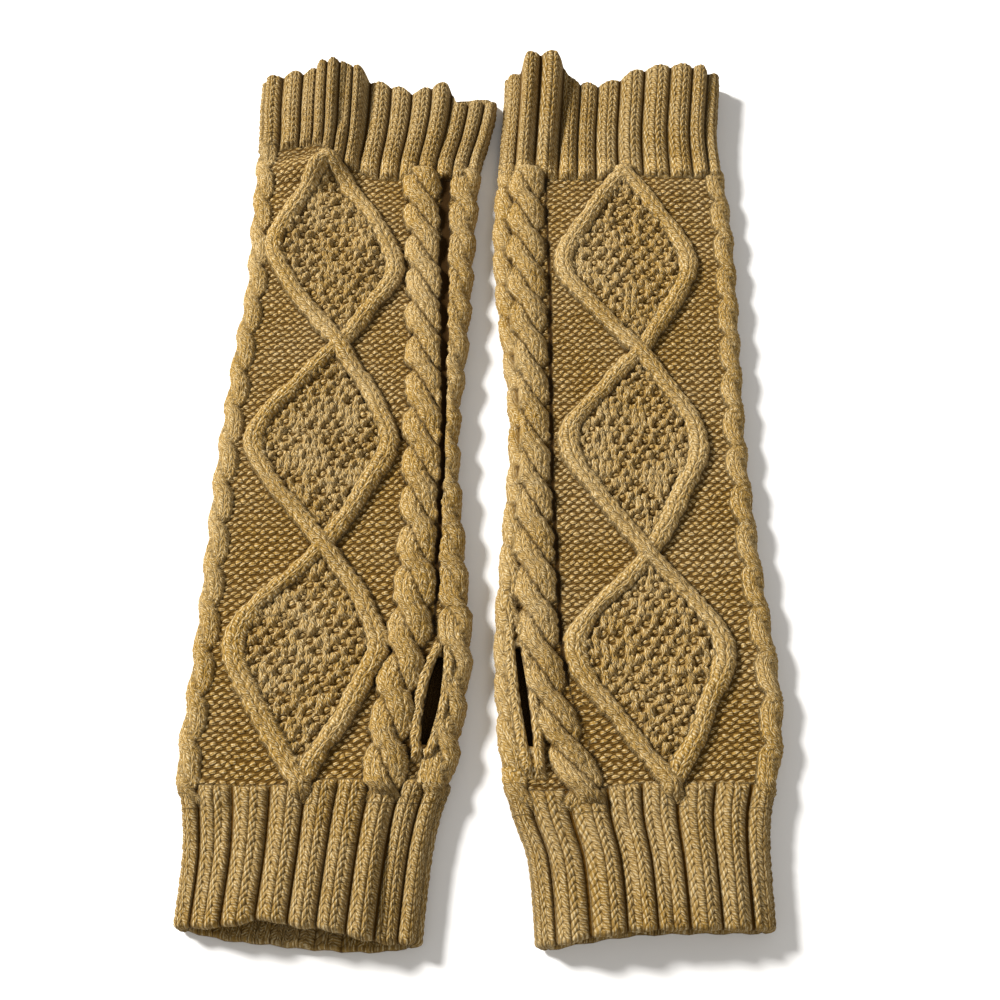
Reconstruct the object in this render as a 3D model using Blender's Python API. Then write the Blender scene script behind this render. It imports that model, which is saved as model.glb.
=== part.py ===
"""A pair of long knitted fingerless gloves, laid flat side by side.

Each glove is one knitted tube pressed flat: an arm cuff in 2x2 rib, a body with a column of three
diamonds between rope cables, and a shorter hand cuff in rib. A slit for the thumb opens through the
upper layer beside one cable. The upper layer lies on the lower one, and the whole underside is flat.

Sizes are in millimetres until a mesh is made. +Z is up and +Y points to the arm ends. The tables
give places in the laid pair as it was measured; SHIFT_X and SHIFT_Y bring its middle to the origin.
"""
import math
from collections import namedtuple

import bmesh
import bpy

MM = 0.001

# The cloth
WALL = 2.6
LAYER_GAP = 0.8
SEAM_GAP = 0.3
FOLD_RADIUS = (WALL + LAYER_GAP) / 2
EDGE_INSET = 1.2          # the cables on the folds bulge out past the cloth by about this much

# The length of the pieces, along Y
ARM_JOIN = 131.0
HAND_JOIN = -91.5
FRONT_HEM = -130.4        # where the upper layer of the hand cuffs ends

# The middle of the measured pair
SHIFT_X = 5.02
SHIFT_Y = -19.41

# Raised knitting
CABLE_STEP = 13.8         # from one crossing of a rope cable to the next
CABLE_HALF = 6.6
CABLE_RISE = 4.0
FOLD_CABLE_RISE = 2.6
STRAND_HALF = 4.6
STRAND_RISE = 2.4
OVER_RISE = 0.8           # the upper strand where two cross
CROSSING_REACH = 9.0
MOSS_RISE = 1.1
MOSS_SOFTEN = 8.0
CORNER_SOFTNESS = 0.22
RIB_RISE = 1.5
RIB_ROUND = 0.6

# The thumb slit and the knitted band round it
SLIT_WIDTH = 6.0
SLIT_BLUNT = 0.75
BAND_HALF = 1.9
BAND_RISE = 1.4
SLIT_POINTS = 7
SLIT_FLOOR = WALL + LAYER_GAP / 2
SLIT_TOP = 30.0

# Lofting of the upper layer
ARM_LOFT_REACH = 36.0     # how far past the arm join its waves run on into the body
HAND_LOFT = 5.2
HAND_LOFT_REACH = 4.0

# How finely the meshes follow the cloth
FOLD_STEPS = 4
BODY_TOP_STEPS = 32
BODY_UNDER_STEPS = 7
BODY_ROWS = 64
BODY_INNER_ROWS = 8
STEPS_PER_RIB = 4
ARM_ROWS = 5
HAND_ROWS = 3
CUFF_UNDER_STEPS = 8

WOOL = (0.275, 0.174, 0.065, 1.0)
WOOL_RIB = (0.262, 0.165, 0.060, 1.0)
WOOL_ROUGHNESS = 0.9

Outline = namedtuple("Outline", "y left right")
Diamond = namedtuple("Diamond", "top_x top_y corner_y left right")
Path = namedtuple("Path", "y x")
Mouth = namedtuple("Mouth", "across edge_y lift")
Hem = namedtuple("Hem", "across edge_y")
Ribs = namedtuple("Ribs", "across count")
Swell = namedtuple("Swell", "x y reach_x reach_y rise")
Slit = namedtuple("Slit", "top_x top_y end_x end_y")
Station = namedtuple("Station", "across angle")
Glove = namedtuple(
    "Glove", "name outline diamonds cable fold_cables slit mouth hem arm_ribs hand_ribs swells")

LEFT = Glove(
    name="left",
    outline=[
        Outline(180, -89.5, -1.0), Outline(157, -89.4, -1.2), Outline(143, -88.6, -3.6),
        Outline(129, -88.5, -6.9), Outline(103, -88.3, -8.6), Outline(78, -87.9, -9.8),
        Outline(54, -89.8, -11.0), Outline(31, -91.0, -13.0), Outline(9, -92.0, -13.2),
        Outline(-22, -92.3, -10.8), Outline(-51, -92.7, -8.6), Outline(-70, -93.5, -10.4),
        Outline(-87, -94.0, -13.0), Outline(-100, -91.4, -17.4), Outline(-113, -90.1, -19.9),
        Outline(-140, -91.2, -22.4)],
    diamonds=[
        Diamond(-62.0, 131.0, 92.0, -78.3, -37.6), Diamond(-54.4, 54.4, 18.7, -80.5, -36.3),
        Diamond(-55.0, -17.9, -48.7, -80.6, -37.1), Diamond(-58.0, -91.5, -91.5, -58.0, -58.0)],
    cable=[Path(131, -30.0), Path(93, -27.3), Path(19, -24.6), Path(-67, -28.4), Path(-92, -31.5)],
    fold_cables=(1.8, 4.0),
    slit=Slit(-17.4, -49.5, -22.2, -82.0),
    mouth=[
        Mouth(0.00, 171.0, 0.5), Mouth(0.12, 171.5, 3.0), Mouth(0.27, 172.5, 8.6),
        Mouth(0.45, 170.0, 4.2), Mouth(0.60, 167.0, 0.8), Mouth(0.67, 165.5, 0.3),
        Mouth(0.78, 167.5, 2.6), Mouth(0.86, 161.5, 0.2), Mouth(1.00, 160.5, 0.4)],
    hem=[Hem(0.0, -131.5), Hem(0.18, -133.8), Hem(0.5, -135.8), Hem(0.85, -136.8), Hem(1.0, -135.8)],
    arm_ribs=[Ribs(0.0, 0.0), Ribs(0.41, 7.0), Ribs(0.76, 11.0), Ribs(1.0, 13.0)],
    hand_ribs=[Ribs(0.0, 0.0), Ribs(1.0, 8.0)],
    swells=[
        Swell(-66, 121, 14, 7, 3.4), Swell(-57, 107, 9, 9, -2.6), Swell(-75, 101, 7, 14, 1.6),
        Swell(-47, 98, 6, 16, 1.4)])

RIGHT = Glove(
    name="right",
    outline=[
        Outline(180, 2.6, 84.5), Outline(157, 1.7, 81.8), Outline(143, 0.8, 80.4),
        Outline(129, -0.2, 80.8), Outline(103, -2.0, 82.1), Outline(78, -1.4, 81.9),
        Outline(54, 0.9, 81.1), Outline(31, 3.0, 80.4), Outline(9, 2.9, 80.2),
        Outline(-22, 0.3, 81.3), Outline(-51, -1.3, 83.2), Outline(-70, -0.8, 83.8),
        Outline(-87, 0.6, 81.4), Outline(-100, 3.6, 77.8), Outline(-113, 8.0, 76.5),
        Outline(-140, 10.0, 76.4)],
    diamonds=[
        Diamond(45.5, 131.0, 89.7, 23.6, 64.8), Diamond(47.2, 51.7, 18.7, 22.2, 64.9),
        Diamond(46.9, -21.2, -50.7, 22.4, 67.8), Diamond(49.8, -91.5, -91.5, 49.8, 49.8)],
    cable=[Path(131, 9.4), Path(93, 8.8), Path(19, 10.0), Path(-42, 11.4), Path(-67, 14.4),
           Path(-92, 24.0)],
    fold_cables=(2.4, 2.2),
    slit=Slit(4.6, -45.5, 9.4, -85.0),
    mouth=[
        Mouth(0.00, 171.5, 0.6), Mouth(0.05, 172.0, 2.0), Mouth(0.12, 174.0, 7.6),
        Mouth(0.22, 175.5, 9.4), Mouth(0.33, 171.5, 2.2), Mouth(0.43, 169.0, 0.8),
        Mouth(0.55, 170.5, 3.0), Mouth(0.67, 172.0, 5.0), Mouth(0.84, 172.5, 6.0),
        Mouth(1.00, 171.5, 0.8)],
    hem=[Hem(0.0, -136.2), Hem(0.2, -134.2), Hem(0.45, -132.4), Hem(1.0, -131.9)],
    arm_ribs=[Ribs(0.0, 0.0), Ribs(0.14, 2.0), Ribs(0.385, 5.0), Ribs(1.0, 11.0)],
    hand_ribs=[Ribs(0.0, 0.0), Ribs(1.0, 7.0)],
    swells=[Swell(28, 112, 9, 16, 1.2), Swell(62, 117, 12, 8, 1.0)])


def clear_scene():
    for item in list(bpy.data.objects):
        bpy.data.objects.remove(item, do_unlink=True)


def soft_step(value):
    """0 below 0, 1 above 1, and a smooth rise between."""
    value = min(max(value, 0.0), 1.0)
    return value * value * (3.0 - 2.0 * value)


def read(table, place, column):
    """A column of a table at a place between its rows, on a smooth curve through them.

    The first column holds the places, rising or falling.
    """
    rows = table if table[0][0] < table[-1][0] else table[::-1]
    place = min(max(place, rows[0][0]), rows[-1][0])
    index = max(i for i in range(len(rows) - 1) if rows[i][0] <= place)
    low, high = rows[index], rows[index + 1]
    before = rows[max(index - 1, 0)]
    after = rows[min(index + 2, len(rows) - 1)]
    start, end = getattr(low, column), getattr(high, column)
    width = high[0] - low[0]
    slope_in = (end - getattr(before, column)) / (high[0] - before[0])
    slope_out = (getattr(after, column) - start) / (after[0] - low[0])
    t = (place - low[0]) / width
    return ((2 * t ** 3 - 3 * t ** 2 + 1) * start + (t ** 3 - 2 * t ** 2 + t) * width * slope_in
            + (3 * t ** 2 - 2 * t ** 3) * end + (t ** 3 - t ** 2) * width * slope_out)


def ridge(distance, half_width):
    """A rounded ridge: 1 in its middle, 0 from half_width on."""
    return math.sqrt(max(0.0, 1.0 - (distance / half_width) ** 2))


def edges(glove, y):
    return (read(glove.outline, y, "left") + EDGE_INSET, read(glove.outline, y, "right") - EDGE_INSET)


def rope(across, along):
    """Height of a rope cable of two strands; on top each runs down to the right."""
    height = 0.0
    for strand in (0, 1):
        turn = math.pi * (along / CABLE_STEP + strand)
        middle = 0.42 * CABLE_HALF * math.cos(turn)
        rise = 0.68 + 0.32 * math.sin(turn)
        height = max(height, rise * ridge(across - middle, 0.62 * CABLE_HALF))
    return height


def bend(share):
    """How far out a diamond's side is, from its crossing at 0 to its rounded corner at 1."""
    full = math.hypot(1.0, CORNER_SOFTNESS)
    return (full - math.hypot(1.0 - share, CORNER_SOFTNESS)) / (full - CORNER_SOFTNESS)


def diamond_sides(glove, y):
    """Left and right strand at this height, with how near the crossing above and below are."""
    stack = glove.diamonds
    index = max([i for i in range(len(stack) - 1) if y <= stack[i].top_y] or [0])
    top, end = stack[index], stack[index + 1]
    crossing = top if y > top.corner_y else end
    share = (y - crossing.top_y) / (top.corner_y - crossing.top_y)
    out = bend(min(max(share, 0.0), 1.0))
    left = crossing.top_x + (top.left - crossing.top_x) * out
    right = crossing.top_x + (top.right - crossing.top_x) * out
    below_top = soft_step(1.0 - (top.top_y - y) / CROSSING_REACH)
    above_end = soft_step(1.0 - (y - end.top_y) / CROSSING_REACH)
    return left, right, below_top, above_end


def slit_place(glove, x, y):
    """Distance across the slit's middle line, and half its width there, or None past its ends."""
    slit = glove.slit
    share = (slit.top_y - y) / (slit.top_y - slit.end_y)
    middle = slit.top_x + (slit.end_x - slit.top_x) * share
    outward = 2.0 * share - 1.0
    half = SLIT_WIDTH / 2 * max(0.0, 1.0 - outward * outward) ** SLIT_BLUNT
    return x - middle, half, abs(outward)


def body_relief(glove, x, y, from_left, from_right):
    left, right, below_top, above_end = diamond_sides(glove, y)
    over = OVER_RISE * above_end
    height = (STRAND_RISE + over) * ridge(x - left, STRAND_HALF)
    over = OVER_RISE * below_top
    height = max(height, (STRAND_RISE + over) * ridge(x - right, STRAND_HALF))
    if left < x < right:
        inside = min(x - left, right - x)
        height = max(height, MOSS_RISE * soft_step(inside / MOSS_SOFTEN))
    height = max(height, CABLE_RISE * rope(x - read(glove.cable, y, "x"), y))
    height = max(height, FOLD_CABLE_RISE * rope(from_left - glove.fold_cables[0], y))
    height = max(height, FOLD_CABLE_RISE * rope(glove.fold_cables[1] - from_right, y))
    across, half, outward = slit_place(glove, x, y)
    if outward < 1.25:
        height = max(height, BAND_RISE * ridge(abs(across) - half - BAND_HALF, BAND_HALF))
    return height


def rib_relief(count):
    return RIB_RISE * (0.5 + 0.5 * math.cos(2 * math.pi * count)) ** RIB_ROUND


def lift(glove, across, x, y):
    """How far the upper layer stands off the lower one, above the gap between flat layers."""
    mouth_y = read(glove.mouth, across, "edge_y")
    arm_start = ARM_JOIN - ARM_LOFT_REACH
    arm = read(glove.mouth, across, "lift") * soft_step((y - arm_start) / (mouth_y - arm_start)) ** 1.5
    hand_start = HAND_JOIN + HAND_LOFT_REACH
    hand = HAND_LOFT * soft_step((hand_start - y) / (hand_start - FRONT_HEM))
    hand *= max(0.0, math.sin(math.pi * across)) ** 0.5
    swell = sum(
        s.rise * math.exp(-((x - s.x) / s.reach_x) ** 2 - ((y - s.y) / s.reach_y) ** 2)
        for s in glove.swells)
    return max(0.0, arm + hand + swell)


def stations(top_steps, under_steps):
    """Places round the tube: over the top, down the right fold, back below, up the left fold."""
    top = [Station(i / top_steps, 90.0) for i in range(top_steps)]
    right = [Station(1.0, 90.0 - 180.0 * i / FOLD_STEPS) for i in range(FOLD_STEPS)]
    under = [Station(1.0 - i / under_steps, -90.0) for i in range(under_steps)]
    left = [Station(0.0, 270.0 - 180.0 * i / FOLD_STEPS) for i in range(FOLD_STEPS)]
    return top + right + under + left


def knit_point(glove, station, y, relief, outside):
    """One point of the wall, on its outside or its inside."""
    left, right = edges(glove, y)
    inset = WALL / 2 + FOLD_RADIUS
    angle = math.radians(station.angle)
    out_x, out_z = math.cos(angle), math.sin(angle)
    start = left + inset
    x = start + (right - inset - start) * station.across + FOLD_RADIUS * out_x
    rise = (WALL + LAYER_GAP + lift(glove, station.across, x, y)) / 2
    z = WALL / 2 + rise * (1.0 + out_z)
    reach = -WALL / 2
    if outside:
        quarter = FOLD_RADIUS * (math.pi / 2 - 1.0)
        turn_left = x - left - WALL / 2 + quarter
        turn_right = right - WALL / 2 - x + quarter
        upward = min(max((out_z + 0.7) / 0.7, 0.0), 1.0)
        reach = WALL / 2 + upward * relief(station, x, y, turn_left, turn_right)
    return (x + out_x * reach, y, z + out_z * reach)


def tube(name, glove, around, outer_rows, inner_rows, ends, relief, material):
    """A closed knitted wall: outer and inner rings, joined at both ends.

    ends(station) gives the y of the piece's two ends at that station.
    """
    mesh = bpy.data.meshes.new(name)
    build = bmesh.new()

    def rings(rows, outside):
        made = []
        for row in range(rows + 1):
            ring = []
            for station in around:
                first, last = ends(station)
                y = first + (last - first) * row / rows
                point = knit_point(glove, station, y, relief, outside)
                place = ((point[0] + SHIFT_X) * MM, (point[1] + SHIFT_Y) * MM, point[2] * MM)
                ring.append(build.verts.new(place))
            made.append(ring)
        return made

    def skin(first, second):
        count = len(first)
        for i in range(count):
            j = (i + 1) % count
            build.faces.new((first[i], first[j], second[j], second[i]))

    outer = rings(outer_rows, True)
    inner = rings(inner_rows, False)
    for wall in (outer, inner):
        for low, high in zip(wall, wall[1:]):
            skin(low, high)
    skin(outer[0], inner[0])
    skin(outer[-1], inner[-1])
    bmesh.ops.recalc_face_normals(build, faces=build.faces)
    build.to_mesh(mesh)
    build.free()
    mesh.shade_smooth()
    mesh.set_sharp_from_angle(angle=math.radians(50))
    mesh.materials.append(material)
    piece = bpy.data.objects.new(name, mesh)
    bpy.context.collection.objects.link(piece)
    return piece


def wool(name, colour):
    material = bpy.data.materials.new(name)
    material.use_nodes = True
    shader = material.node_tree.nodes["Principled BSDF"]
    shader.inputs["Base Color"].default_value = colour
    shader.inputs["Roughness"].default_value = WOOL_ROUGHNESS
    shader.inputs["Metallic"].default_value = 0.0
    return material


def layer_edge(station, upper, lower):
    """An end that runs from the upper layer's edge to the lower one's round each fold."""
    share = (1.0 + math.sin(math.radians(station.angle))) / 2
    return lower + (upper - lower) * share


def arm_ends(glove, station):
    upper = read(glove.mouth, station.across, "edge_y")
    lower = read(glove.mouth, station.across * 0.6 + 0.2, "edge_y") - 1.5
    return ARM_JOIN + SEAM_GAP / 2, layer_edge(station, upper, lower)


def hand_ends(glove, station):
    lower = read(glove.hem, station.across, "edge_y")
    return HAND_JOIN - SEAM_GAP / 2, layer_edge(station, FRONT_HEM, lower)


def body_ends(station):
    return HAND_JOIN + SEAM_GAP / 2, ARM_JOIN - SEAM_GAP / 2


def cuff(glove, name, ribs, ends, rows, colour):
    def relief(station, x, y, turn_left, turn_right):
        return rib_relief(read(ribs, station.across, "count"))

    top_steps = round(ribs[-1].count * STEPS_PER_RIB)
    around = stations(top_steps, CUFF_UNDER_STEPS)
    full_name = f"{glove.name}_{name}"
    material = wool(f"wool {glove.name} {name}", colour)
    return tube(full_name, glove, around, rows, 2, lambda s: ends(glove, s), relief, material)


def slit_cutter(glove):
    """A lens-shaped prism through the upper layer, from the air between the layers up."""
    slit = glove.slit
    length = slit.top_y - slit.end_y
    outline = []
    for side in (1, -1):
        for i in range(SLIT_POINTS):
            share = i / SLIT_POINTS if side > 0 else 1.0 - i / SLIT_POINTS
            middle = slit.top_x + (slit.end_x - slit.top_x) * share
            outward = 2.0 * share - 1.0
            half = SLIT_WIDTH / 2 * max(0.0, 1.0 - outward * outward) ** SLIT_BLUNT
            outline.append((middle + side * half, slit.top_y - length * share))
    build = bmesh.new()
    rings = []
    for z in (SLIT_FLOOR, SLIT_TOP):
        ring = [build.verts.new(((x + SHIFT_X) * MM, (y + SHIFT_Y) * MM, z * MM)) for x, y in outline]
        rings.append(ring)
        build.faces.new(ring)
    for i in range(len(outline)):
        j = (i + 1) % len(outline)
        build.faces.new((rings[0][i], rings[0][j], rings[1][j], rings[1][i]))
    bmesh.ops.recalc_face_normals(build, faces=build.faces)
    mesh = bpy.data.meshes.new(f"{glove.name} slit cutter")
    build.to_mesh(mesh)
    build.free()
    cutter = bpy.data.objects.new(f"{glove.name}_slit_cutter", mesh)
    bpy.context.collection.objects.link(cutter)
    cutter.hide_render = True
    cutter.display_type = "WIRE"
    return cutter


def body(glove):
    def relief(station, x, y, turn_left, turn_right):
        return body_relief(glove, x, y, turn_left, turn_right)

    around = stations(BODY_TOP_STEPS, BODY_UNDER_STEPS)
    material = wool(f"wool {glove.name} body", WOOL)
    piece = tube(f"{glove.name}_body", glove, around, BODY_ROWS, BODY_INNER_ROWS, body_ends,
                 relief, material)
    cut = piece.modifiers.new("thumb slit", "BOOLEAN")
    cut.operation = "DIFFERENCE"
    cut.solver = "EXACT"
    cut.object = slit_cutter(glove)
    return piece


def main():
    clear_scene()
    for glove in (LEFT, RIGHT):
        cuff(glove, "arm_cuff", glove.arm_ribs, arm_ends, ARM_ROWS, WOOL_RIB)
        body(glove)
        cuff(glove, "hand_cuff", glove.hand_ribs, hand_ends, HAND_ROWS, WOOL_RIB)


main()
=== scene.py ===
"""Looks of a pair of long knitted fingerless gloves, laid flat side by side.

Every glove is knitted stitch by stitch over the form of its solids: reverse stockinette, diamonds
with a double moss filling, rope cables, and 2x2 rib at both ends. The wall of a knitted tube is
closed both ways, round the tube and over its edges, so each piece starts as one grid whose points
are laid out over the wall and whose sides are then joined.

Sizes are in millimetres until a mesh is made. +Z is up and +Y points to the arm ends. The tables
give places in the laid pair as it was measured; SHIFT_X and SHIFT_Y bring its middle to the origin.
"""
import math
from collections import namedtuple

import bmesh
import bpy
import numpy as np
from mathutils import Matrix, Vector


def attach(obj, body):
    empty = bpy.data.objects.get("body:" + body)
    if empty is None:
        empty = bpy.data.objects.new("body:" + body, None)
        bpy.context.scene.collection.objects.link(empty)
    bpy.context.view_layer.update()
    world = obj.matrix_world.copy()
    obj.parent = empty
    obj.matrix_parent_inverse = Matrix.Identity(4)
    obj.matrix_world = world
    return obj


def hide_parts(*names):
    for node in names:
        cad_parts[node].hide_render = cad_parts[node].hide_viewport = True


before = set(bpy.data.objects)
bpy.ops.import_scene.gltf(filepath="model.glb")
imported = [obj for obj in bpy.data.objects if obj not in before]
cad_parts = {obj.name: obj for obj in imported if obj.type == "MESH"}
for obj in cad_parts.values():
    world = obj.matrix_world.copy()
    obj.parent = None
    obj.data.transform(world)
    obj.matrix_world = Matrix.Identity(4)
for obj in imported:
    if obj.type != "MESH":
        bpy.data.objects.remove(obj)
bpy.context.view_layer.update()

MM = 0.001

# The cloth
WALL = 2.6
LAYER_GAP = 0.8
SEAM_OVERLAP = 0.05
JOIN_LAP = 0.15           # how far a cuff's knitting laps over the end of the body's
FOLD_RADIUS = (WALL + LAYER_GAP) / 2
FOLD_OUTSIDE = FOLD_RADIUS + WALL / 2 + 1.0       # radius of a fold over its stitches
FOLD_QUARTER = FOLD_OUTSIDE * math.pi / 2 - FOLD_RADIUS
EDGE_INSET = 1.2
STITCH_WIDE = 3.3
ROW_TALL = 2.6
HAND_ROW_TALL = 2.1       # rows sit closer in the hand ribs
KNIT_RISE = 0.68
LEG_MIDDLE = 0.46         # of a knit stitch's leg, from the stitch's own middle to its side
PURL_RISE = 0.55
PURL_BOW = 0.07
INNER_RISE = 1.2          # of the ribs inside an open mouth
INNER_ROOM = 4.0          # how far the layers stand apart where those ribs have their full rise
UNDER_FADE = 0.7          # share of a fold's lower half over which its raised knitting fades

# Stitch columns across one layer and round one fold
LAYER_COLUMNS = 24.0
FOLD_COLUMNS = 4.0
FOLD_RIBS = 2.0

# The length of the pieces, along Y
ARM_JOIN = 131.0
HAND_JOIN = -91.5
ARM_CUFF_LENGTH = 40.0    # about, for the number of its rows
HAND_CUFF_LENGTH = 42.0
LAYER_WIDTH = 80.0        # about, for the number of stations across a layer
FRONT_HEM = -130.4
JOIN_BLEND = 5.0          # how far cables run on past the border of a rib
RIB_BLEND = 2.0           # how far ribs run on past their border

# The middle of the measured pair
SHIFT_X = 5.02
SHIFT_Y = -19.41

# Raised knitting
RAISED_ROWS = 1.08        # rows of a cable or a strand to a row of the ground
CABLE_STEP = 13.8
CABLE_PHASE = -3.8
CABLE_HALF = 6.5
CABLE_RISE = 4.4
CABLE_SWAY = 0.36         # how far a strand swings out, in shares of the half width
CABLE_CREASE = 0.3        # share of the rise lost where one strand dives under the other
CABLE_KNIT = 0.84         # how plainly a cable shows its columns, from 0 to 1
STRAND_KNIT = 0.88        # and a diamond's strand
STRAND_HALF = 3.7
STRAND_RISE = 2.4
OVER_RISE = 1.0           # of the upper strand where two cross
CROSSING_REACH = 9.0
STRAND_START = 4.0        # the run over which the first strands come out of the rib
MOSS_RISE = 0.6
MOSS_SOFTEN = 8.0
MOSS_NUB = 1.5
MOSS_COLUMN = 1.25        # nubs to a column of the ground
MOSS_ROW = 0.88           # nubs to a row of the ground
MOSS_ASIDE = 0.6          # how far a row of nubs may slip along, in nubs
MOSS_ALONG = 0.5          # how far a column of nubs may slip along, in nubs
CORNER_SOFTNESS = 0.22
RIB_RISE = 1.9
RIB_ROUND = 0.45
RIB_KNIT = 0.45           # half the share of a rib's pitch that its two knit columns take

# The thumb slit and the knitted band round it
SLIT_BLUNT = 0.75
SLIT_SPREAD = 8.0
SLIT_PULL = 12.0
SLIT_MARGIN = 2.0         # how far past the slit the inside has finer rows
BAND_HALF = 1.75
BAND_RISE = 2.3
BAND_END = 1.25           # where the bands end past the slit, in half lengths of the slit
BAND_FADE = 0.2

# Lofting of the upper layer
ARM_LOFT_REACH = 36.0
HAND_LOFT = 5.2
HAND_LOFT_REACH = 4.0
CREASE_FADE = 5.0         # how far a crease runs on past its ends

# Edges of the cuffs
RIM_ROUND = 1.3
RIM_STEPS = 6
RIB_SCALLOP = 0.25

# How far hand-held yarn strays, over what length, and the draw of each
STRAY_X = ((0.3, 17.0, 3), (0.2, 5.0, 6), (0.16, 2.8, 8))
STRAY_Y = ((0.35, 21.0, 4), (0.2, 6.0, 7), (0.2, 3.1, 9))

# The whole cut of each stretch in metres: all round, and its height
ARM_CUFF_FLAT = (0.175, 0.042)
BODY_FLAT = (0.172, 0.2225)
HAND_CUFF_FLAT = (0.155, 0.044)

# How finely the meshes follow the stitches
BODY_CELL = (0.55, 0.52)
CUFF_CELL = (0.38, 0.38)
FOLD_CELL = 0.5
UNDER_CELL = 3.3
INNER_CELL = 8.0
SLIT_INNER_CELL = 1.5
# Painted shade: a darker wool colour laid into hollows, drawn-in grooves and the inside of the tubes
HOLLOW_REACH = 2.4        # a place lower than the mean this far round it takes painted shade as a hollow
SUNK_SHADE = 2.0          # extra painted shade of a drawn-in groove, as millimetres of depth
INNER_SHADE = 9.0         # how far inside a mouth the wool takes as much painted shade as 1 mm of hollow
DEEPEST_SHADE = 1.6       # painted shade of the inside, as millimetres of hollow

# Wool colours, with painted shade and painted highlight
# Painted shade in the deepest hollows, the drawn-in grooves and the inside of the tubes
SHADE_WOOL = (0.014, 0.006, 0.001)
# Painted shade in the gaps between stitches and in hollows; also the colour of the dark flecks in the yarn
DEEP_SHADE_AND_FLECK_WOOL = (0.056, 0.025, 0.002)
# The body's own wool
BODY_WOOL = (0.244, 0.144, 0.030)
# The same wool painted darker on the cuffs, as painted shade
RIB_SHADED_WOOL = (0.188, 0.111, 0.024)
# Light fibres, painted as a highlight on the crests of the stitches only
LIGHT_FIBRE_AND_HIGHLIGHT_WOOL = (0.52, 0.42, 0.245)
# The same painted highlight, darker on the cuffs as painted shade
RIB_SHADED_FIBRE_AND_HIGHLIGHT_WOOL = (0.42, 0.335, 0.19)

# The camera stands over the hand ends and looks down towards the arm ends.
CAMERA_TILT = math.radians(23.0)
CAMERA_HEIGHT = 342.8
CAMERA_BACK = 145.5
SENSOR = 36.0
LENS = 41.29
LAMP_COLOUR = (1.0, 0.98, 0.95)

Outline = namedtuple("Outline", "y left right")
# The right corner of a diamond lies lower than its left one by its slip.
Diamond = namedtuple("Diamond", "top_x top_y corner_y slip left right")
Path = namedtuple("Path", "y x")
Groove = namedtuple("Groove", "y x half")
Mouth = namedtuple("Mouth", "across edge_y lift")
Hem = namedtuple("Hem", "across edge_y front_y")
Border = namedtuple("Border", "x y")
FoldCable = namedtuple("FoldCable", "inset half rise sway")
Ribs = namedtuple("Ribs", "across count")
Swell = namedtuple("Swell", "x y reach_x reach_y rise")
Crease = namedtuple("Crease", "from_x from_y to_x to_y half_width rise")
Slit = namedtuple("Slit", "top_x top_y end_x end_y width")
Glove = namedtuple(
    "Glove",
    "name outline diamonds cable fold_cables slit mouth hem arm_ribs hand_ribs arm_border hand_border "
    "groove swells creases")
Ring = namedtuple("Ring", "across column arm_count hand_count angle side")
Piece = namedtuple("Piece", "glove name ring first last shares inner_shares cell slot flat")

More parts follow.
